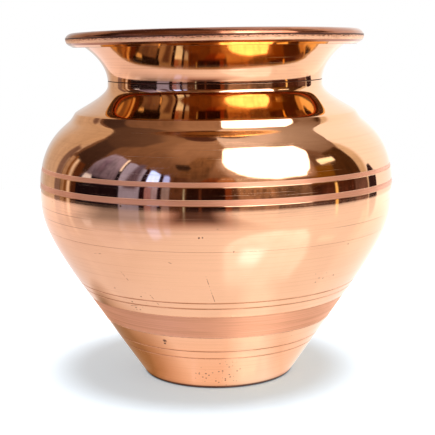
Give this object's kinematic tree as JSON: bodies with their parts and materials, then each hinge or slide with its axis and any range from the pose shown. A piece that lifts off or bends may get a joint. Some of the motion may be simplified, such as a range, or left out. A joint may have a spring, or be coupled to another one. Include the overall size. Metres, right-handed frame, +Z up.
{
  "type": "lota",
  "caption": "Round-bellied water pot in polished copper sheet, with a tapered lower wall, flat foot, narrow waisted neck, flared mouth and rolled rim.",
  "frame": {"origin": "centre of the foot, on the surface that the pot stands on", "axes": "+Z up along the pot's axis, through the middle of the mouth; the pot is round, so X and Y are any two directions across it"},
  "size_m": [0.1226, 0.1226, 0.1198],
  "materials": {
    "polished_copper": "spun copper sheet, buffed to a mirror, with fine turned lines and satin bands",
    "plate_copper": "rolled copper plate, dull, with faint turning marks",
    "wire_copper": "drawn copper wire, dull",
    "braze_metal": "pale brazing filler, left as it flowed"
  },
  "bodies": {
    "root": {"neck_collar": "polished_copper", "upper_bowl": "polished_copper", "lower_bowl": "polished_copper", "base_disc": "plate_copper", "rim_wire": "wire_copper", "neck_braze": "braze_metal", "belly_braze": "braze_metal", "base_braze": "braze_metal"}
  },
  "joints": []
}
